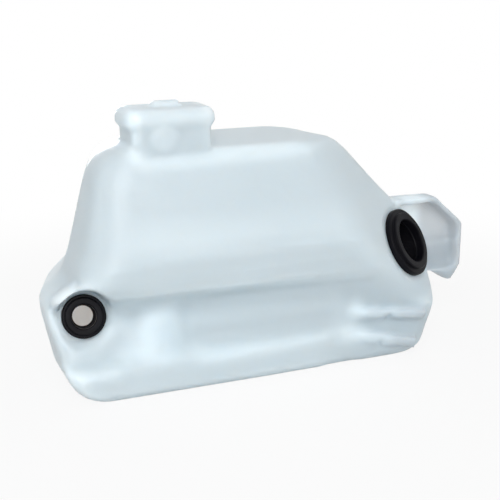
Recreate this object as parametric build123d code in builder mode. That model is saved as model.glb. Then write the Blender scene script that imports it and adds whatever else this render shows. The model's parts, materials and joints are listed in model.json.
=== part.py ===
"""Windscreen washer reservoir: a blow-moulded tank with a pump grommet and a filler grommet.

Millimetres. X runs along the tank from the pump end to the hanger, -Y is the front, +Z is up, and the
origin is under the middle of the whole part.
"""

import os
from math import asin, cos, radians, sin, tan

from build123d import *

os.makedirs("parts", exist_ok=True)

# Whole moulding
overall_length = 304.0  # pump lobe to the tip of the hanger
depth = 98.0  # belly to back
height = 150.0  # foot to the top of the tank, under the head
wall = 2.5
cap_drop = 1.2  # the flat top and foot stop this far short of where their rounds would meet
parting = 52.0  # mould parting plane, from the front
back_draft = 16.0  # how far the ends lean in behind the parting plane

# Front outline, measured from the pump end and from the foot
foot_left = 13.0
foot_left_round = 28.0
lobe_top = 61.0  # where the pump lobe turns in to the shoulder
lobe_round = 14.0
shoulder_in = 18.0
shoulder_top = 77.0
top_left = 37.0
top_left_round = 20.0
top_right = 198.0  # where the slanted shoulder leaves the top
top_right_round = 34.0
tank_right = 269.0
slant_foot = 80.0
slant_foot_round = 16.0
heel_top = 42.0  # slanted heel under the right end
heel_in = 14.0
heel_round = 14.0

# Side outline, measured from the front of the belly
top_set_back = 20.0
top_round = 14.0
belly_height = 87.0
belly_round = 34.0
lip_height = 67.0  # lower edge of the belly over the recess
lip_set_back = 6.0
lip_round = 8.0
recess_depth = 29.0  # at the pump end, under the lip
recess_roof = 58.0
recess_roof_round = 8.0
recess_floor = 27.0
recess_floor_depth = 20.0
recess_floor_round = 12.0
ledge_height = 20.0
ledge_set_back = 7.0
ledge_round = 8.0
foot_round = 10.0
back_round = 16.0

# Level cuts of the tank
recess_middle = 0.5  # share of the front at which the recess has begun to run out
recess_middle_rise = 0.42  # share of its depth that it has lost there
front_crown = 1.2
front_crown_round = 160.0
lobe_corner = 9.0
belly_corner = 24.0
facet_least = 6.0  # cut of the front right corner where the filler's facet has run out
facet_round = 40.0
right_corner = 12.0
back_corner = 22.0
parting_round = 30.0
least_round = 1.0
corner_room = 0.48  # most of a side that one rounded corner may take
round_steps = 4  # cuts in the round at the foot, and in the one at the top
ledge_steps = 3
floor_steps = 3
recess_steps = 4
roof_steps = 3
lip_steps = 3
side_steps = 6
inside_steps = 3  # the space inside follows every third cut

# Head on top
head_along = 81.0
head_in = 36.5
head_length = 50.0
head_depth = 33.0
head_corner = 5.0
head_top = 175.0
head_root = 33.0  # how far it reaches down into the tank
hood_foot = 163.0  # the hood bulges over the head from here up
hood_out_ends = 3.5
hood_out_front = 0.8
hood_corner = 9.0
hood_top_round = 6.0
hood_steps = 4  # cuts in the round at its top
hood_foot_bevel = 2.5
nub_length = 16.0
nub_rise = 3.5
nub_foot = 169.5  # where its ramp ends at the front
nub_crest_in = 33.0
nub_back_in = 38.0
nub_round = 1.5
disc_along = 76.0
disc_radius = 7.0
disc_height = 158.0
disc_rise = 0.8

# Rib in the recess
rib_along = 67.5
rib_in = 16.0
rib_height = 43.0
rib_width = 22.0
rib_length = 38.0
rib_root = 8.0
rib_round = 1.8

# Clip rails at the front right: along, height, length, thickness and degrees of fall
upper_rail = (224.0, 33.0, 55.0, 6.5, 7.0)
lower_rail = (219.0, 16.0, 53.0, 7.0, 14.0)
rail_in = 3.0
rail_turn = 4.0  # degrees that the rails stand out towards the right
rail_root = 9.0
rail_bevel = 1.2
rail_notch = 6.0
rail_notch_depth = 2.5

# Pump grommet and its seat
pump_along = 24.0
pump_in = 29.5
pump_height = 51.0
pump_turn = 8.0  # degrees towards the pump end
pump_lift = 16.0  # degrees upwards
pump_seat_radius = 16.5
pump_hole_radius = 10.0
pump_flange_radius = 13.5
pump_flange = 4.0
pump_collar_radius = 11.5
pump_collar = 5.6
pump_bore_radius = 7.5
pump_inner_radius = 12.0
pump_inner_length = 5.0

# Filler grommet and its seat
filler_along = 246.5
filler_in = 25.5
filler_height = 74.0
filler_turn = 36.0  # degrees towards the hanger
filler_lift = 27.0  # degrees upwards
filler_spot_radius = 26.0
filler_spot_depth = 0.8
filler_hole_radius = 17.4
filler_flange_radius = 23.5
filler_flange = 4.0
filler_collar_radius = 20.0
filler_collar = 6.0
filler_bore_radius = 15.0
filler_inner_radius = 18.8
filler_inner_length = 10.0

# Both grommets
grommet_clearance = 0.15
sealing_lip = 1.2
sealing_lip_length = 2.0

# Hanger at the right end
hanger_top = 100.0
hanger_bevel_in = 23.0
hanger_bevel_drop = 20.0
hanger_root = 235.0
hanger_front = 41.0
hanger_depth = 16.0
hanger_wall = 4.0
hanger_shelf = 66.0  # step between the deep and the shallow pocket
hanger_web = 9.0  # thickness behind the shallow pocket
hook_height = 35.0
hook_in = 7.0
hook_rise = 12.0
throat_in = 23.0
throat_height = 45.0
hanger_round = 3.0


def along(distance):
    """X of a distance from the pump end."""
    return distance - overall_length / 2


def inward(distance):
    """Y of a distance from the front."""
    return distance - depth / 2


def rounded(corners, radii):
    """Closed line through the corners, each rounded as far as its two sides leave room."""
    fitted = []
    for i, radius in enumerate(radii):
        before = Vector(corners[i - 1]) - Vector(corners[i])
        after = Vector(corners[(i + 1) % len(corners)]) - Vector(corners[i])
        half_turn = radians(180 - before.get_angle(after)) / 2
        room = corner_room * min(before.length, after.length) / tan(half_turn)
        fitted.append(min(radius, room))
    FilletPolyline(*corners, radius=fitted, close=True)


def view(corners, radii, inset):
    """Upright outline of the tank, moved in by the inset."""
    with BuildSketch() as outline:
        with BuildLine():
            rounded(corners, radii)
        make_face()
        if inset:
            offset(amount=-inset)
    return outline.face()


def front_view(inset):
    corners = [
        (along(foot_left), -cap_drop),
        (along(0), lobe_top),
        (along(shoulder_in), shoulder_top),
        (along(top_left), height + cap_drop),
        (along(top_right), height + cap_drop),
        (along(tank_right), slant_foot),
        (along(tank_right), heel_top),
        (along(tank_right - heel_in), -cap_drop),
    ]
    radii = [
        foot_left_round,
        lobe_round,
        lobe_round,
        top_left_round,
        top_right_round,
        slant_foot_round,
        heel_round,
        heel_round,
    ]
    return view(corners, radii, inset)


def pump_end_view(inset):
    corners = [
        (inward(depth), height + cap_drop),
        (inward(top_set_back), height + cap_drop),
        (inward(0), belly_height),
        (inward(lip_set_back), lip_height),
        (inward(recess_depth), recess_roof),
        (inward(recess_floor_depth), recess_floor),
        (inward(ledge_set_back), ledge_height),
        (inward(ledge_set_back), -cap_drop),
        (inward(depth), -cap_drop),
    ]
    radii = [
        back_round,
        top_round,
        belly_round,
        lip_round,
        recess_roof_round,
        recess_floor_round,
        ledge_round,
        foot_round,
        back_round,
    ]
    return view(corners, radii, inset)


def filler_end_view(inset):
    corners = [
        (inward(depth), height + cap_drop),
        (inward(top_set_back), height + cap_drop),
        (inward(0), belly_height),
        (inward(ledge_set_back), ledge_height),
        (inward(ledge_set_back), -cap_drop),
        (inward(depth), -cap_drop),
    ]
    radii = [back_round, top_round, belly_round, belly_round, foot_round, back_round]
    return view(corners, radii, inset)


def span(outline, level):
    """Both ends of the level line across an upright outline."""
    reach = overall_length
    crossing = outline.intersect(Edge.make_line((-reach, level), (reach, level)))
    ends = [vertex.X for edge in crossing for vertex in edge.vertices()]
    return min(ends), max(ends)


def spread(low, high, steps):
    """Evenly spaced heights from low up to, but not including, high."""
    return [low + i * (high - low) / steps for i in range(steps)]


def levels(inset):
    """Heights of the level cuts, close together where the outlines turn."""
    foot = inset - cap_drop + foot_round
    foot_sweep = asin(1 - cap_drop / foot_round)
    cuts = [foot - foot_round * sin(foot_sweep * (1 - i / round_steps)) for i in range(round_steps)]
    cuts += spread(foot, ledge_height, ledge_steps)
    cuts += spread(ledge_height, recess_floor, floor_steps)
    cuts += spread(recess_floor, recess_roof, recess_steps)
    cuts += spread(recess_roof, lip_height, roof_steps)
    cuts += spread(lip_height, shoulder_top, lip_steps)
    crown = height - inset + cap_drop - top_round
    crown_sweep = asin(1 - cap_drop / top_round)
    cuts += spread(shoulder_top, crown, side_steps)
    cuts += [crown + top_round * sin(crown_sweep * i / round_steps) for i in range(round_steps + 1)]
    return cuts


def facing(centre, turn, lift):
    """Plane at a point, facing the front, turned to the right and lifted by degrees."""
    outwards = (
        sin(radians(turn)) * cos(radians(lift)),
        -cos(radians(turn)) * cos(radians(lift)),
        sin(radians(lift)),
    )
    return Plane(centre, x_dir=(cos(radians(turn)), sin(radians(turn)), 0), z_dir=outwards)


pump_seat = facing((along(pump_along), inward(pump_in), pump_height), -pump_turn, pump_lift)
filler_seat = facing(
    (along(filler_along), inward(filler_in), filler_height), filler_turn, filler_lift
)


def facet_cut(corner, level, inset):
    """How far the filler's facet cuts in from the front right corner of a level cut."""
    sideways = sin(radians(filler_turn)) * (corner[0] - filler_seat.origin.X)
    forwards = cos(radians(filler_turn)) * (filler_seat.origin.Y - corner[1])
    upwards = tan(radians(filler_lift)) * (level - filler_seat.origin.Z)
    stand_off = (filler_spot_depth - inset) / cos(radians(filler_lift))
    return max(sideways + forwards + upwards - stand_off, facet_least)


def tank_form(inset, head, every=1):
    """Outside of the tank with its head, or the space inside them when moved in by the wall.

    It runs straight from level cut to level cut, and takes every cut or only some of them.
    """
    front = front_view(inset)
    pump_end = pump_end_view(inset)
    filler_end = filler_end_view(inset)
    with BuildPart() as form:
        cuts = levels(inset)
        for level in [*cuts[:-1:every], cuts[-1]]:
            left, right = span(front, level)
            pump_front, back = span(pump_end, level)
            filler_front = span(filler_end, level)[0]
            cut = facet_cut((right, filler_front), level, inset)
            facet_left = right - cut / sin(radians(filler_turn))
            facet_back = filler_front + cut / cos(radians(filler_turn))
            middle = left + recess_middle * (facet_left - left)
            middle_front = pump_front + recess_middle_rise * (filler_front - pump_front)
            rise = min(max((level - lobe_top) / (belly_height - lobe_top), 0), 1)
            left_corner = lobe_corner + rise * (belly_corner - lobe_corner)
            corners = [
                (left, pump_front),
                (middle, middle_front - front_crown),
                (facet_left, filler_front),
                (right, facet_back),
                (right - back_draft, back),
                (left + back_draft, back),
                (left, inward(parting)),
            ]
            radii = [
                left_corner,
                front_crown_round,
                facet_round,
                right_corner,
                back_corner,
                back_corner,
                parting_round,
            ]
            with BuildSketch(Plane.XY.offset(level)):
                with BuildLine():
                    rounded(corners, [max(radius - inset, least_round) for radius in radii])
                make_face()
        loft(ruled=True)
        add(head)
        # Flat seats of the two grommets
        for seat, radius in ((pump_seat, pump_seat_radius), (filler_seat, filler_spot_radius)):
            with BuildSketch(seat.offset(-inset)):
                Circle(radius + inset)
            extrude(amount=depth, mode=Mode.SUBTRACT)
    return form.part


head_base = height - head_root
head_plane = Plane((along(head_along), inward(head_in), 0))
head_front = head_in - head_depth / 2

with BuildPart() as head_outside:
    with BuildSketch(head_plane.offset(hood_foot)):
        RectangleRounded(head_length + 2 * hood_out_ends, head_depth + 2 * hood_out_front, hood_corner)
    extrude(amount=head_top - hood_top_round - hood_foot)
    chamfer(head_outside.faces().sort_by(Axis.Z)[0].edges(), hood_foot_bevel)
    for i in range(hood_steps + 1):
        turn = radians(90 * i / hood_steps)
        pull_in = hood_top_round * (1 - cos(turn))
        level = head_top - hood_top_round * (1 - sin(turn))
        with BuildSketch(head_plane.offset(level)):
            RectangleRounded(
                head_length + 2 * (hood_out_ends - pull_in),
                head_depth + 2 * (hood_out_front - pull_in),
                hood_corner - pull_in,
            )
    loft(ruled=True)
    with BuildSketch(head_plane.offset(head_base)):
        RectangleRounded(head_length, head_depth, head_corner)
    extrude(amount=head_top - hood_top_round - head_base)
    with BuildSketch(Plane.YZ.offset(along(head_along) - nub_length / 2)):
        with BuildLine():
            rounded(
                [
                    (inward(head_front), hood_foot),
                    (inward(head_front), nub_foot),
                    (inward(nub_crest_in), head_top + nub_rise),
                    (inward(nub_back_in), head_top + nub_rise),
                    (inward(nub_back_in), hood_foot),
                ],
                [0, nub_round, nub_round, nub_round, 0],
            )
        make_face()
    extrude(amount=nub_length)
    with BuildSketch(Plane.XZ.offset(-inward(head_front))):
        with Locations((along(disc_along), disc_height)):
            Circle(disc_radius)
    extrude(amount=disc_rise)

with BuildPart() as head_inside:
    with BuildSketch(head_plane.offset(head_base)):
        RectangleRounded(head_length - 2 * wall, head_depth - 2 * wall, head_corner - wall)
    extrude(amount=head_top - wall - head_base)

tank_outside = tank_form(0, head_outside.part)
tank_inside = tank_form(wall, head_inside.part, inside_steps)

with BuildPart() as hanger:
    with BuildSketch(Plane.XZ.offset(-inward(hanger_front))):
        with BuildLine():
            rounded(
                [
                    (along(hanger_root), hanger_top),
                    (along(overall_length - hanger_bevel_in), hanger_top),
                    (along(overall_length), hanger_top - hanger_bevel_drop),
                    (along(overall_length), hook_height + hook_rise),
                    (along(overall_length - hook_in), hook_height),
                    (along(overall_length - throat_in), throat_height),
                    (along(hanger_root), throat_height),
                ],
                [0, hanger_round, hanger_round, hanger_round, hanger_round, hanger_round, 0],
            )
        make_face()
    extrude(amount=-hanger_depth)
    with BuildSketch(Plane.XZ.offset(-inward(hanger_front))):
        with BuildLine():
            rounded(
                [
                    (along(hanger_root), hanger_top - hanger_wall),
                    (along(overall_length - hanger_bevel_in - hanger_wall / 2), hanger_top - hanger_wall),
                    (along(overall_length - hanger_wall), hanger_top - hanger_bevel_drop - hanger_wall / 2),
                    (along(overall_length - hanger_wall), hanger_shelf),
                    (along(hanger_root), hanger_shelf),
                ],
                [0, hanger_round, hanger_round, hanger_round, 0],
            )
        make_face()
    extrude(amount=hanger_wall - hanger_depth, mode=Mode.SUBTRACT)
    with BuildSketch(Plane.XZ.offset(-inward(hanger_front))):
        with BuildLine():
            rounded(
                [
                    (along(hanger_root), hanger_shelf),
                    (along(overall_length - hanger_wall), hanger_shelf),
                    (along(overall_length - hanger_wall), hook_height + hook_rise),
                    (along(overall_length - throat_in), hook_height + hook_rise),
                    (along(hanger_root), throat_height + hanger_wall),
                ],
                [0, hanger_round, hanger_round, hanger_round, 0],
            )
        make_face()
    extrude(amount=hanger_web - hanger_depth, mode=Mode.SUBTRACT)


def rail(centre_along, centre_height, length, thickness, fall):
    """One moulded rail across the front, rounded and notched in the middle."""
    with BuildPart() as bar:
        front = facing((along(centre_along), inward(rail_in), centre_height), -rail_turn, 0)
        with BuildSketch(front):
            with Locations(Location((0, 0), -fall)):
                Rectangle(length, thickness)
                with Locations((0, -thickness / 2)):
                    Rectangle(rail_notch, 2 * rail_notch_depth, mode=Mode.SUBTRACT)
        extrude(amount=-rail_root)
        chamfer(bar.faces().sort_by(Axis(front.origin, front.z_dir))[-1].edges(), rail_bevel)
    return bar.part


rails = [rail(*upper_rail), rail(*lower_rail)]

with BuildPart() as rib:
    rib_front = facing((along(rib_along), inward(rib_in), rib_height), -pump_turn, pump_lift)
    with BuildSketch(rib_front):
        Rectangle(rib_width, rib_length)
    extrude(amount=-rib_root)
    fillet(rib.faces().sort_by(Axis(rib_front.origin, rib_front.z_dir))[-1].edges(), rib_round)

with BuildPart() as tank:
    add(tank_outside)
    # Hanger, rails and rib
    add(hanger.part)
    add(rails)
    add(rib.part)
    # Space inside, and the two holes
    add(tank_inside, mode=Mode.SUBTRACT)
    for seat, radius in ((pump_seat, pump_hole_radius), (filler_seat, filler_hole_radius)):
        with BuildSketch(seat):
            Circle(radius)
        extrude(amount=-2 * wall, mode=Mode.SUBTRACT)

tank.part.label = "tank"
export_step(tank.part, "parts/tank.step")


def grommet_section(hole, flange, collar, bore, inner):
    """Corners of a grommet's half section: radius outwards, height off its seat.

    flange, collar and inner are each a radius and a length along the axis.
    """
    neck = hole - grommet_clearance
    inside = -wall - grommet_clearance
    tail = inside - inner[1]
    return [
        (bore, collar[1]),
        (collar[0], collar[1]),
        (collar[0], flange[1]),
        (flange[0], flange[1]),
        (flange[0], 0),
        (neck, 0),
        (neck, inside),
        (inner[0], inside),
        (inner[0], tail),
        (bore - sealing_lip, tail),
        (bore - sealing_lip, tail + sealing_lip_length),
        (bore, tail + sealing_lip_length),
    ]


def section_plane(seat):
    """Plane through a seat's axis, with its local Y along the axis."""
    return Plane(seat.origin, x_dir=seat.x_dir, z_dir=-seat.y_dir)


pump_section = grommet_section(
    pump_hole_radius,
    (pump_flange_radius, pump_flange),
    (pump_collar_radius, pump_collar),
    pump_bore_radius,
    (pump_inner_radius, pump_inner_length),
)

with BuildPart() as pump_grommet:
    with BuildSketch(section_plane(pump_seat)):
        with BuildLine():
            Polyline(*pump_section, close=True)
        make_face()
    revolve(axis=Axis(pump_seat.origin, pump_seat.z_dir))

pump_grommet.part.label = "pump_grommet"
export_step(pump_grommet.part, "parts/pump_grommet.step")

filler_section = grommet_section(
    filler_hole_radius,
    (filler_flange_radius, filler_flange),
    (filler_collar_radius, filler_collar),
    filler_bore_radius,
    (filler_inner_radius, filler_inner_length),
)

with BuildPart() as filler_grommet:
    with BuildSketch(section_plane(filler_seat)):
        with BuildLine():
            Polyline(*filler_section, close=True)
        make_face()
    revolve(axis=Axis(filler_seat.origin, filler_seat.z_dir))

filler_grommet.part.label = "filler_grommet"
export_step(filler_grommet.part, "parts/filler_grommet.step")
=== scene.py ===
import json
import math

import bmesh
import bpy
import numpy as np
from mathutils import Matrix, Vector
from mathutils.bvhtree import BVHTree


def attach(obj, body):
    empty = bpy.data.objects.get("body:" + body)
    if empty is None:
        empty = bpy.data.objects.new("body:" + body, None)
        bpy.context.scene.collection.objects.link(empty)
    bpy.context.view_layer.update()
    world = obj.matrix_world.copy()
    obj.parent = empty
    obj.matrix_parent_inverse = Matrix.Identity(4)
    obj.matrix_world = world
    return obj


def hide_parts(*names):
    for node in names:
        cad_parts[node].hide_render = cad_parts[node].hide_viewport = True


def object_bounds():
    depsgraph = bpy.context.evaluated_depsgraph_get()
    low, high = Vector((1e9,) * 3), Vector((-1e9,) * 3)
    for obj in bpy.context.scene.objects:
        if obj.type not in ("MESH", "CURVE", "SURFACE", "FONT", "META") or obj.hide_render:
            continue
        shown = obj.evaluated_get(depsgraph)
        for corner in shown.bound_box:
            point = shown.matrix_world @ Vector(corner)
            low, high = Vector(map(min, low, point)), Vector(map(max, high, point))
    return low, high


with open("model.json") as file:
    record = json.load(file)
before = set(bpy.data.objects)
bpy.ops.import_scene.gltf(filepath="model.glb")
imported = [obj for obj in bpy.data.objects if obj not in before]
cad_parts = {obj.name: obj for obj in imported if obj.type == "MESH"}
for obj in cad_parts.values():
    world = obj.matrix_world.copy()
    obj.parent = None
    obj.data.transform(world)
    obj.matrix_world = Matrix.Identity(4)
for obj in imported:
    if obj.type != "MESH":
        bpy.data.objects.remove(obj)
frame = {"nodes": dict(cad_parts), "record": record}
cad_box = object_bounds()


# Tank
# The tank is one hollow blow-moulding in natural polyethylene, milky and a little see-through.
# The hot tube is blown out against a split mould, so every edge is soft, the wall is thinnest where it
# was blown furthest, and the head, hanger, rails and rib are part of the same skin.
wall = 0.0025
pump_hole_radius = 0.010
filler_hole_radius = 0.0174
hole_reach = 0.008  # how far a hole's wall lies from the middle of its grommet's bore
hole_slack = 0.0004
hole_lean = 0.3  # how far a face of a hole's wall may turn towards the hole's axis
same_place = 1e-6

mounts = {mount["name"]: mount for mount in frame["record"]["mounts"]}


def bore_axis(name):
    """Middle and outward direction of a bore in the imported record."""
    return Vector(mounts[name]["pos_m"]), Vector(mounts[name]["axis"]).normalized()


tank_holes = [
    (*bore_axis("pump_bore"), pump_hole_radius),
    (*bore_axis("filler_bore"), filler_hole_radius),
]


def on_hole_wall(face):
    """Whether a face belongs to the wall of one of the two holes."""
    centre = face.calc_center_median()
    for middle, axis, radius in tank_holes:
        offset = centre - middle
        along = offset.dot(axis)
        across = (offset - along * axis).length
        level = abs(face.normal.dot(axis)) < hole_lean
        if level and abs(along) < hole_reach and abs(across - radius) < hole_slack:
            return True
    return False


def skin_from(start):
    """All faces that are joined to one face."""
    found = {start}
    waiting = [start]
    while waiting:
        for edge in waiting.pop().edges:
            for face in edge.link_faces:
                if face not in found:
                    found.add(face)
                    waiting.append(face)
    return found


def new_piece(name, mesh):
    """Object of a finished mesh."""
    data = bpy.data.meshes.new(name)
    mesh.to_mesh(data)
    mesh.free()
    piece = bpy.data.objects.new(name, data)
    bpy.context.scene.collection.objects.link(piece)
    return piece


def closed_skin(name, source, outside):
    """One skin of the tank, outer or inner, with its two holes filled."""
    mesh = bmesh.new()
    mesh.from_mesh(source.data)
    bmesh.ops.remove_doubles(mesh, verts=mesh.verts, dist=same_place)
    bmesh.ops.delete(mesh, geom=[f for f in mesh.faces if on_hole_wall(f)], context="FACES")
    mesh.faces.ensure_lookup_table()
    lowest = min(mesh.faces, key=lambda f: min(v.co.z for v in f.verts))
    outer = skin_from(lowest)
    dropped = [f for f in mesh.faces if (f in outer) != outside]
    bmesh.ops.delete(mesh, geom=dropped, context="FACES")
    bmesh.ops.holes_fill(mesh, edges=[e for e in mesh.edges if e.is_boundary], sides=0)
    bmesh.ops.recalc_face_normals(mesh, faces=mesh.faces)
    return new_piece(name, mesh)


def apply_modifiers(piece):
    """Keeps the mesh that a piece's modifiers give."""
    view = bpy.context.evaluated_depsgraph_get()
    data = bpy.data.meshes.new_from_object(piece.evaluated_get(view))
    piece.modifiers.clear()
    piece.data = data


def even_skin(piece, size):
    """Remakes a closed skin from even faces."""
    remesh = piece.modifiers.new("even_skin", "REMESH")
    remesh.mode = "VOXEL"
    remesh.voxel_size = size
    apply_modifiers(piece)


def read_mesh(data):
    """Points and edges of a mesh as arrays."""
    places = np.empty(len(data.vertices) * 3)
    data.vertices.foreach_get("co", places)
    ends = np.empty(len(data.edges) * 2, dtype=np.int64)
    data.edges.foreach_get("vertices", ends)
    return places.reshape(-1, 3), ends.reshape(-1, 2)


def neighbour_means(values, ends):
    """Mean of a value over each point's neighbours."""
    total = len(values)
    counts = np.bincount(ends.ravel(), minlength=total)
    means = np.empty_like(values)
    for column in range(values.shape[1]):
        sums = np.bincount(ends[:, 0], values[ends[:, 1], column], total)
        sums += np.bincount(ends[:, 1], values[ends[:, 0], column], total)
        means[:, column] = sums / np.maximum(counts, 1)
    return means


def outside_of(places, low, high):
    """How far each point lies outside a box."""
    return np.maximum(np.array(low) - places, places - np.array(high)).max(axis=1)


def inside_share(places, low, high, fade):
    """1 for points in a box, running down to 0 over a distance around it."""
    return np.clip(1 - outside_of(places, low, high) / fade, 0, 1)


# Every edge of the body is softened, but less so in boxes around its crisp details. Each box has the
# share of softening that is left in it, and its low and high corners.
outer_voxel = 0.0016
body_rounds = 36
soften = 0.55
swell = -0.57  # each softening step is followed by one outwards, so that the form keeps its size
crisp_fade = 0.010
crisp_boxes = [
    (0.20, (0.118, -0.012, 0.030), (0.155, 0.012, 0.105)),  # hanger
    (0.12, (-0.104, -0.034, 0.150), (-0.038, 0.010, 0.180)),  # head
    (0.05, (0.040, -0.055, 0.004), (0.105, -0.030, 0.040)),  # clip rails
    (0.30, (-0.125, -0.052, 0.054), (0.030, -0.012, 0.074)),  # lip over the recess
]

tank = closed_skin("tank_moulding", frame["nodes"]["tank"], True)
even_skin(tank, outer_voxel)
places, ends = read_mesh(tank.data)
softness = np.ones(len(places))
for least, low, high in crisp_boxes:
    softness = np.minimum(softness, np.clip(outside_of(places, low, high) / crisp_fade, least, 1))
for step in range(body_rounds):
    for factor in (soften, swell):
        places += factor * softness[:, None] * (neighbour_means(places, ends) - places)

# The land around the pump's grommet is flat, so what stands before its seat goes back to it. The land
# runs out widely towards the pump end and the top, and tightly elsewhere.
seat_flat = 0.0150
seat_fade = 0.0050
seat_step = 0.010  # what stands further out is no part of the land
seat_lean = 1.6
seat_rise = 1.2
seat_least = 0.3

pump_middle, pump_axis = bore_axis("pump_bore")
offsets = places - np.array(pump_middle)
ahead = offsets @ np.array(pump_axis)
across = np.linalg.norm(offsets - np.outer(ahead, pump_axis), axis=1)
sideways = offsets / np.maximum(across, seat_flat)[:, None]
run_out = seat_fade * np.maximum(seat_lean - sideways[:, 0] + seat_rise * sideways[:, 2], seat_least)
flat = np.clip(1 - (across - seat_flat) / run_out, 0, 1) * (ahead < seat_step)
places -= np.outer(flat * np.maximum(ahead, 0), pump_axis)

# Some places flow into the body more than the rest. Each box has its rounds of softening, and its low
# and high corners.
blend_fade = 0.010
blend_boxes = [
    (20, (-0.150, -0.050, 0.030), (-0.106, -0.014, 0.072)),  # pump seat
    (60, (-0.104, -0.048, 0.020), (-0.064, -0.018, 0.056)),  # rib
    (16, (0.124, -0.006, 0.036), (0.146, 0.006, 0.094)),  # scoop of the hanger
    (2, (0.040, -0.055, 0.004), (0.105, -0.030, 0.040)),  # clip rails
    (36, (0.034, -0.060, 0.004), (0.046, -0.030, 0.040)),  # near ends of the clip rails
    (110, (-0.152, -0.050, 0.095), (-0.095, 0.030, 0.146)),  # pump end of the upper body
    (40, (0.020, -0.050, 0.115), (0.080, 0.010, 0.160)),  # top of the slanted shoulder
]

for rounds, low, high in blend_boxes:
    share = inside_share(places, low, high, blend_fade)[:, None]
    for step in range(rounds):
        places += soften * share * (neighbour_means(places, ends) - places)
places = np.clip(places, *cad_box)
tank.data.vertices.foreach_set("co", places.ravel())
tank.data.update()

# The inside follows where softening brought the outer skin nearer to it.
inner_voxel = 0.0026
least_wall = 0.0021
plug_length = 0.020
plug_sides = 96


def set_along(place, axis):
    """Matrix that sets an upright mesh at a place, along an axis."""
    return Matrix.Translation(place) @ axis.to_track_quat("Z", "Y").to_matrix().to_4x4()


def hole_plug(middle, axis, radius):
    """Round plug that cuts a hole through the wall."""
    plug = bmesh.new()
    bmesh.ops.create_cone(
        plug,
        cap_ends=True,
        segments=plug_sides,
        radius1=radius,
        radius2=radius,
        depth=plug_length,
    )
    plug.transform(set_along(middle, axis))
    return new_piece("hole_plug", plug)


hollow = closed_skin("tank_hollow", frame["nodes"]["tank"], False)
even_skin(hollow, inner_voxel)
outer_skin = BVHTree.FromObject(tank, bpy.context.evaluated_depsgraph_get())
for vertex in hollow.data.vertices:
    nearest, normal = outer_skin.find_nearest(vertex.co)[:2]
    depth = (nearest - vertex.co).dot(normal)
    if depth < least_wall:
        vertex.co -= normal * (least_wall - depth)
cutters = [hollow, *(hole_plug(*hole) for hole in tank_holes)]
for cutter in cutters:
    cut = tank.modifiers.new("hollow", "BOOLEAN")
    cut.operation = "DIFFERENCE"
    cut.solver = "MANIFOLD"
    cut.object = cutter
apply_modifiers(tank)
for cutter in cutters:
    bpy.data.objects.remove(cutter)
tank.data.shade_smooth()

# Each point keeps how solid the plastic is behind it, from the bare wall up to a solid part, and its
# colour darkens with that. Boxes add painted shade on top of this: the hanger, which the mould closed
# flat, the rib and the heel with the clip rails are made darker to stand for the shade on them. Each box
# has the least share, its fade and its corners.
solid_from = 0.003
solid_full = 0.008
solid_spread = 6
skin_gap = 0.0002
painted_shade_boxes = [
    (1.0, 0.008, (0.124, -0.012, 0.030), (0.155, 0.012, 0.105)),  # hanger, closed flat by the mould, made darker still as painted shade
    (0.3, 0.008, (-0.098, -0.046, 0.026), (-0.070, -0.018, 0.052)),  # rib, painted shade that tones down its lit face
    (0.45, 0.025, (0.062, -0.050, 0.010), (0.120, -0.010, 0.034)),  # heel with the clip rails, painted shade
]

both_skins = BVHTree.FromObject(tank, bpy.context.evaluated_depsgraph_get())
depths = []
for vertex in tank.data.vertices:
    start = vertex.co - vertex.normal * skin_gap
    depth = both_skins.ray_cast(start, -vertex.normal, solid_full)[3]
    depths.append(solid_full if depth is None else depth)
solid_and_shade = np.clip((np.array(depths) - solid_from) / (solid_full - solid_from), 0, 1)[:, None]
places, ends = read_mesh(tank.data)
for least, fade, low, high in painted_shade_boxes:
    solid_and_shade = np.maximum(solid_and_shade, least * inside_share(places, low, high, fade)[:, None])
for step in range(solid_spread):
    solid_and_shade = neighbour_means(solid_and_shade, ends)
tank.data.attributes.new("solid_and_painted_shade", "FLOAT", "POINT").data.foreach_set("value", solid_and_shade.ravel())


def moulded_grain_group():
    """Shared finish of moulded pieces: fine grain, and slow clouds of thickness and gloss."""
    noise_mean = 0.5
    tree = bpy.data.node_groups.new("moulded_grain", "ShaderNodeTree")
    for name in ("Grain Scale", "Cloud Scale", "Cloud Strength"):
        tree.interface.new_socket(name, in_out="INPUT", socket_type="NodeSocketFloat")
    for name in ("Height", "Cloud"):
        tree.interface.new_socket(name, in_out="OUTPUT", socket_type="NodeSocketFloat")
    given = tree.nodes.new("NodeGroupInput")
    result = tree.nodes.new("NodeGroupOutput")
    where = tree.nodes.new("ShaderNodeTexCoord")
    grain = tree.nodes.new("ShaderNodeTexNoise")
    grain.inputs["Detail"].default_value = 3.0
    grain.inputs["Roughness"].default_value = 0.6
    cloud = tree.nodes.new("ShaderNodeTexNoise")
    cloud.inputs["Detail"].default_value = 4.0
    cloud.inputs["Roughness"].default_value = 0.55
    cloud.inputs["Distortion"].default_value = 0.4
    centred = tree.nodes.new("ShaderNodeMath")
    centred.operation = "SUBTRACT"
    centred.inputs[1].default_value = noise_mean
    spread = tree.nodes.new("ShaderNodeMath")
    spread.operation = "MULTIPLY_ADD"
    spread.inputs[2].default_value = noise_mean
    tree.links.new(where.outputs["Object"], grain.inputs["Vector"])
    tree.links.new(where.outputs["Object"], cloud.inputs["Vector"])
    tree.links.new(given.outputs["Grain Scale"], grain.inputs["Scale"])
    tree.links.new(given.outputs["Cloud Scale"], cloud.inputs["Scale"])
    tree.links.new(cloud.outputs["Fac"], centred.inputs[0])
    tree.links.new(centred.outputs["Value"], spread.inputs[0])
    tree.links.new(given.outputs["Cloud Strength"], spread.inputs[1])
    tree.links.new(grain.outputs["Fac"], result.inputs["Height"])
    tree.links.new(spread.outputs["Value"], result.inputs["Cloud"])
    return tree


moulded_grain = moulded_grain_group()


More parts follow.
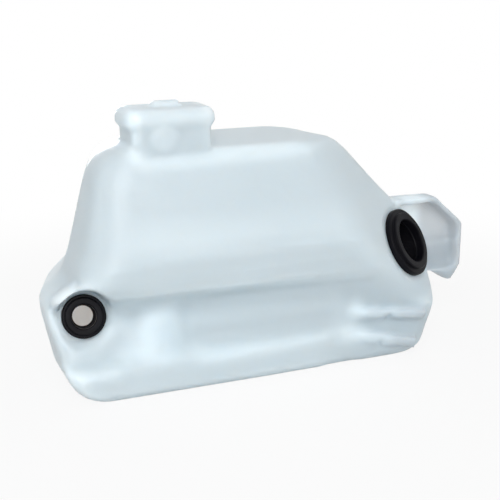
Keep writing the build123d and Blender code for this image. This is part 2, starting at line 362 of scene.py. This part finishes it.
def moulded_material(name, grain_scale, cloud_scale, cloud_strength):
    """New material with the shared moulded finish; gives it with its tree, shader and finish."""
    material = bpy.data.materials.new(name)
    material.use_nodes = True
    tree = material.node_tree
    finish = tree.nodes.new("ShaderNodeGroup")
    finish.node_tree = moulded_grain
    finish.inputs["Grain Scale"].default_value = grain_scale
    finish.inputs["Cloud Scale"].default_value = cloud_scale
    finish.inputs["Cloud Strength"].default_value = cloud_strength
    return material, tree, tree.nodes["Principled BSDF"], finish


def ramp(tree, source, stops):
    """Colour over a value, between two stops that each have a position and a colour."""
    node = tree.nodes.new("ShaderNodeValToRGB")
    for element, (position, colour) in zip(node.color_ramp.elements, stops):
        element.position = position
        element.color = (*colour, 1)
    tree.links.new(source, node.inputs["Fac"])
    return node.outputs["Color"]


def value_range(tree, source, low, high):
    """A value from 0 to 1 stretched over another range."""
    node = tree.nodes.new("ShaderNodeMapRange")
    node.inputs["To Min"].default_value = low
    node.inputs["To Max"].default_value = high
    tree.links.new(source, node.inputs["Value"])
    return node.outputs["Result"]


def bump(tree, height, strength, distance):
    """Bump node over a height."""
    node = tree.nodes.new("ShaderNodeBump")
    node.inputs["Strength"].default_value = strength
    node.inputs["Distance"].default_value = distance
    tree.links.new(height, node.inputs["Height"])
    return node


wall_colour = (0.775, 0.92, 0.985)
solid_and_shaded_colour = (0.37, 0.425, 0.465)
cloud_stops = [(0.3, (0.30, 0.33, 0.36)), (0.7, (0.72, 0.70, 0.68))]
cloud_share = 0.12
tank_roughness = (0.36, 0.50)
polyethylene, tree, shader, finish = moulded_material(
    "natural_polyethylene", grain_scale=900, cloud_scale=22, cloud_strength=0.8
)
# The base colour runs from the wall colour to a darker one where solid plastic lies behind the skin, and
# where the boxes above paint shade on the hanger, rib and heel.
solid_and_painted_shade = tree.nodes.new("ShaderNodeAttribute")
solid_and_painted_shade.attribute_name = "solid_and_painted_shade"
milky_and_shaded = ramp(tree, solid_and_painted_shade.outputs["Fac"], [(0.0, wall_colour), (1.0, solid_and_shaded_colour)])
cloudy = tree.nodes.new("ShaderNodeMix")
cloudy.data_type = "RGBA"
cloudy.blend_type = "SOFT_LIGHT"
cloudy.inputs["Factor"].default_value = cloud_share
tree.links.new(milky_and_shaded, cloudy.inputs["A"])
tree.links.new(ramp(tree, finish.outputs["Cloud"], cloud_stops), cloudy.inputs["B"])
tree.links.new(cloudy.outputs["Result"], shader.inputs["Base Color"])
tree.links.new(value_range(tree, finish.outputs["Cloud"], *tank_roughness), shader.inputs["Roughness"])
shader.inputs["IOR"].default_value = 1.5
shader.inputs["Subsurface Weight"].default_value = 0.85
shader.inputs["Subsurface Radius"].default_value = (1.2, 1.0, 0.88)
shader.inputs["Subsurface Scale"].default_value = 0.022

# The seam of the two mould halves is a fine raised line around the tank.
parting_y = 0.003
seam_half_width = 0.0006
where = tree.nodes.new("ShaderNodeTexCoord")
split = tree.nodes.new("ShaderNodeSeparateXYZ")
tree.links.new(where.outputs["Object"], split.inputs["Vector"])
seam = tree.nodes.new("ShaderNodeMath")
seam.operation = "COMPARE"
seam.inputs[1].default_value = parting_y
seam.inputs[2].default_value = seam_half_width
tree.links.new(split.outputs["Y"], seam.inputs[0])
seam_bump = bump(tree, seam.outputs["Value"], strength=0.5, distance=0.0003)
grain_bump = bump(tree, finish.outputs["Height"], strength=0.10, distance=0.0002)
tree.links.new(seam_bump.outputs["Normal"], grain_bump.inputs["Normal"])
tree.links.new(grain_bump.outputs["Normal"], shader.inputs["Normal"])

tank.data.materials.clear()
tank.data.materials.append(polyethylene)
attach(tank, "root")
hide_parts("tank")


# Pump grommet
# A ring of black moulded rubber, pushed into the hole in the pump lobe. Its flange seats on the tank,
# a groove holds the wall, and a ridge and a lip in its bore seal against the pump's inlet.
grommet_clearance = 0.00015
sealing_lip = 0.0012
sealing_lip_length = 0.002
ridge_height = 0.0005
ridge_half_width = 0.0009
grommet_sides = 128
round_steps = 6
round_share = 0.45  # the most of a side that the rounding of one corner takes
ridge_foot_round = 0.0006
ridge_top_round = 0.0008
mouth_round = 0.0010
collar_round = 0.0012
collar_foot_round = 0.0005
flange_round = 0.0014
flange_seat_round = 0.0006
groove_round = 0.0002
inner_seat_round = 0.0005
inner_end_round = 0.0012
lip_round = 0.0005
lip_foot_round = 0.0003


def rounded_section(corners):
    """Closed section through corners given as radius, height and rounding."""
    line = []
    for i, (radius, height, rounding) in enumerate(corners):
        corner = Vector((radius, height))
        before = Vector(corners[i - 1][:2]) - corner
        after = Vector(corners[(i + 1) % len(corners)][:2]) - corner
        reach = min(rounding, round_share * before.length, round_share * after.length)
        start = corner + before.normalized() * reach
        end = corner + after.normalized() * reach
        for step in range(round_steps + 1):
            part = step / round_steps
            line.append((1 - part) ** 2 * start + 2 * part * (1 - part) * corner + part ** 2 * end)
    return line


def lathe(name, corners, seat, axis):
    """Ring turned from a section around an axis, with its seat at height zero."""
    line = rounded_section(corners)
    mesh = bmesh.new()
    rings = []
    for side in range(grommet_sides):
        angle = math.tau * side / grommet_sides
        turned = [(p.x * math.cos(angle), p.x * math.sin(angle), p.y) for p in line]
        rings.append([mesh.verts.new(place) for place in turned])
    for side in range(grommet_sides):
        ring = rings[side]
        following = rings[(side + 1) % grommet_sides]
        for i in range(len(line)):
            mesh.faces.new((ring[i - 1], ring[i], following[i], following[i - 1]))
    bmesh.ops.recalc_face_normals(mesh, faces=mesh.faces)
    mesh.transform(set_along(seat, axis))
    piece = new_piece(name, mesh)
    piece.data.shade_smooth()
    return piece


def grommet_section(hole, flange, collar, bore, inner):
    """Corners of a grommet's section; flange, collar and inner are each a radius and a length."""
    neck = hole - grommet_clearance
    inside = -wall - grommet_clearance
    tail = inside - inner[1]
    lip_end = tail + sealing_lip_length
    return [
        (bore, -ridge_half_width, ridge_foot_round),
        (bore - ridge_height, 0.0, ridge_top_round),
        (bore, ridge_half_width, ridge_foot_round),
        (bore, collar[1], mouth_round),
        (collar[0], collar[1], collar_round),
        (collar[0], flange[1], collar_foot_round),
        (flange[0], flange[1], flange_round),
        (flange[0], 0.0, flange_seat_round),
        (neck, 0.0, groove_round),
        (neck, inside, groove_round),
        (inner[0], inside, inner_seat_round),
        (inner[0], tail, inner_end_round),
        (bore - sealing_lip, tail, lip_round),
        (bore - sealing_lip, lip_end, lip_round),
        (bore, lip_end, lip_foot_round),
    ]


def seat_of(bore, collar_length, inner_length):
    """Where a grommet's flange seats, and its axis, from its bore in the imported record."""
    middle, axis = bore_axis(bore)
    lip_end = -wall - grommet_clearance - inner_length + sealing_lip_length
    return middle - axis * (collar_length + lip_end) / 2, axis


pump_flange = (0.0135, 0.0040)
pump_collar = (0.0115, 0.0056)
pump_bore_radius = 0.0075
pump_inner = (0.0120, 0.0050)
pump_grommet = lathe(
    "pump_ring",
    grommet_section(pump_hole_radius, pump_flange, pump_collar, pump_bore_radius, pump_inner),
    *seat_of("pump_bore", pump_collar[1], pump_inner[1]),
)

rubber_stops = [(0.25, (0.002, 0.002, 0.003)), (0.75, (0.006, 0.006, 0.008))]
rubber_roughness = (0.28, 0.40)
rubber, tree, shader, finish = moulded_material(
    "black_rubber", grain_scale=1800, cloud_scale=60, cloud_strength=1.0
)
tree.links.new(ramp(tree, finish.outputs["Cloud"], rubber_stops), shader.inputs["Base Color"])
tree.links.new(value_range(tree, finish.outputs["Cloud"], *rubber_roughness), shader.inputs["Roughness"])
shader.inputs["IOR"].default_value = 1.5
shader.inputs["Specular IOR Level"].default_value = 0.05
grain_bump = bump(tree, finish.outputs["Height"], strength=0.35, distance=0.0002)
tree.links.new(grain_bump.outputs["Normal"], shader.inputs["Normal"])

pump_grommet.data.materials.append(rubber)
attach(pump_grommet, "root")
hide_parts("pump_grommet")


# Filler grommet
# A larger ring of the same black rubber in the slanted shoulder. The lower end of the filler pipe is
# pushed into it, past a lip at its inner end.
filler_flange = (0.0235, 0.0040)
filler_collar = (0.0200, 0.0060)
filler_bore_radius = 0.0150
filler_inner = (0.0188, 0.0100)
filler_grommet = lathe(
    "filler_ring",
    grommet_section(filler_hole_radius, filler_flange, filler_collar, filler_bore_radius, filler_inner),
    *seat_of("filler_bore", filler_collar[1], filler_inner[1]),
)
filler_grommet.data.materials.append(rubber)
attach(filler_grommet, "root")
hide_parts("filler_grommet")


# Floor
# A plain white studio floor. Near the tank it takes the tank's shadow, and further out it runs into
# the white of the room.
floor_half = 6.0
floor_grey = (0.6, 0.6, 0.6, 1)
plain_white = (1, 1, 1, 1)
glow_share = 0.88  # how much of the near floor is plain white, with the shaded floor for the rest
shadow_near = 0.20
shadow_far = 0.50
mesh = bmesh.new()
bmesh.ops.create_grid(mesh, x_segments=1, y_segments=1, size=floor_half)
floor = new_piece("floor", mesh)
white_floor = bpy.data.materials.new("white_floor")
white_floor.use_nodes = True
tree = white_floor.node_tree
shader = tree.nodes["Principled BSDF"]
shader.inputs["Base Color"].default_value = floor_grey
shader.inputs["Roughness"].default_value = 0.9
shader.inputs["Specular IOR Level"].default_value = 0.0


def seen_directly(tree):
    """1 on rays from the camera, and on mirrored and see-through ones."""
    path = tree.nodes.new("ShaderNodeLightPath")
    seen = path.outputs["Is Camera Ray"]
    for ray in ("Is Glossy Ray", "Is Transmission Ray"):
        either = tree.nodes.new("ShaderNodeMath")
        either.operation = "MAXIMUM"
        tree.links.new(seen, either.inputs[0])
        tree.links.new(path.outputs[ray], either.inputs[1])
        seen = either.outputs["Value"]
    return seen


glow = tree.nodes.new("ShaderNodeEmission")
glow.inputs["Color"].default_value = plain_white
glow.inputs["Strength"].default_value = 1.0
near_floor = tree.nodes.new("ShaderNodeMixShader")
near_floor.inputs["Fac"].default_value = glow_share
where = tree.nodes.new("ShaderNodeTexCoord")
distance = tree.nodes.new("ShaderNodeVectorMath")
distance.operation = "LENGTH"
far_share = tree.nodes.new("ShaderNodeMapRange")
far_share.interpolation_type = "SMOOTHSTEP"
far_share.inputs["From Min"].default_value = shadow_near
far_share.inputs["From Max"].default_value = shadow_far
near_and_far = tree.nodes.new("ShaderNodeMixShader")
by_ray = tree.nodes.new("ShaderNodeMixShader")
tree.links.new(where.outputs["Object"], distance.inputs[0])
tree.links.new(distance.outputs["Value"], far_share.inputs["Value"])
tree.links.new(shader.outputs["BSDF"], near_floor.inputs[1])
tree.links.new(glow.outputs["Emission"], near_floor.inputs[2])
tree.links.new(far_share.outputs["Result"], near_and_far.inputs["Fac"])
tree.links.new(near_floor.outputs["Shader"], near_and_far.inputs[1])
tree.links.new(glow.outputs["Emission"], near_and_far.inputs[2])
tree.links.new(seen_directly(tree), by_ray.inputs["Fac"])
tree.links.new(shader.outputs["BSDF"], by_ray.inputs[1])
tree.links.new(near_and_far.outputs["Shader"], by_ray.inputs[2])
tree.links.new(by_ray.outputs["Shader"], tree.nodes["Material Output"].inputs["Surface"])
floor.data.materials.append(white_floor)


# Light
# Square soft lights in a white room. The one above the camera does most, and weaker ones in front,
# overhead, at the pump end and behind keep every side at a plain level.
world = bpy.data.worlds.new("white_room")
bpy.context.scene.world = world
world.use_nodes = True
tree = world.node_tree
room_light = tree.nodes["Background"]
room_light.inputs["Color"].default_value = plain_white
room_light.inputs["Strength"].default_value = 0.5
backdrop = tree.nodes.new("ShaderNodeBackground")
backdrop.inputs["Color"].default_value = plain_white
backdrop.inputs["Strength"].default_value = 1.0
by_ray = tree.nodes.new("ShaderNodeMixShader")
tree.links.new(seen_directly(tree), by_ray.inputs["Fac"])
tree.links.new(room_light.outputs["Background"], by_ray.inputs[1])
tree.links.new(backdrop.outputs["Background"], by_ray.inputs[2])
tree.links.new(by_ray.outputs["Shader"], tree.nodes["World Output"].inputs["Surface"])

tank_middle = Vector((0, 0, 0.08))


def soft_light(name, place, size, power):
    """Square soft light at a place, turned to the tank; its power is in watts."""
    lamp = bpy.data.lights.new(name, "AREA")
    lamp.size = size
    lamp.energy = power
    holder = bpy.data.objects.new(name, lamp)
    bpy.context.scene.collection.objects.link(holder)
    holder.location = place
    holder.rotation_euler = (tank_middle - Vector(place)).to_track_quat("-Z", "Y").to_euler()


soft_light("front_light", place=(-0.50, -1.15, 0.90), size=0.80, power=14.5)
soft_light("fill_light", place=(-0.30, -1.50, 0.30), size=0.30, power=4.5)
soft_light("top_light", place=(0.40, -0.15, 1.35), size=1.0, power=2.5)
soft_light("side_light", place=(-1.40, -0.20, 0.35), size=0.60, power=2.5)
soft_light("back_light", place=(0.10, 1.40, 0.16), size=0.30, power=7.0)


# Camera
# The tank is seen from the left of its front and a little from above, through a long lens on a
# full-frame camera.
view_from = (-0.2587, -0.5863, 0.2571)
view_along = Vector((0.3756, 0.8848, -0.2756))
camera = bpy.data.cameras.new("camera")
camera.lens = 72
camera.sensor_width = 36
eye = bpy.data.objects.new("camera", camera)
bpy.context.scene.collection.objects.link(eye)
eye.location = view_from
eye.rotation_euler = view_along.to_track_quat("-Z", "Y").to_euler()
bpy.context.scene.camera = eye
bpy.context.scene.view_settings.view_transform = "Standard"
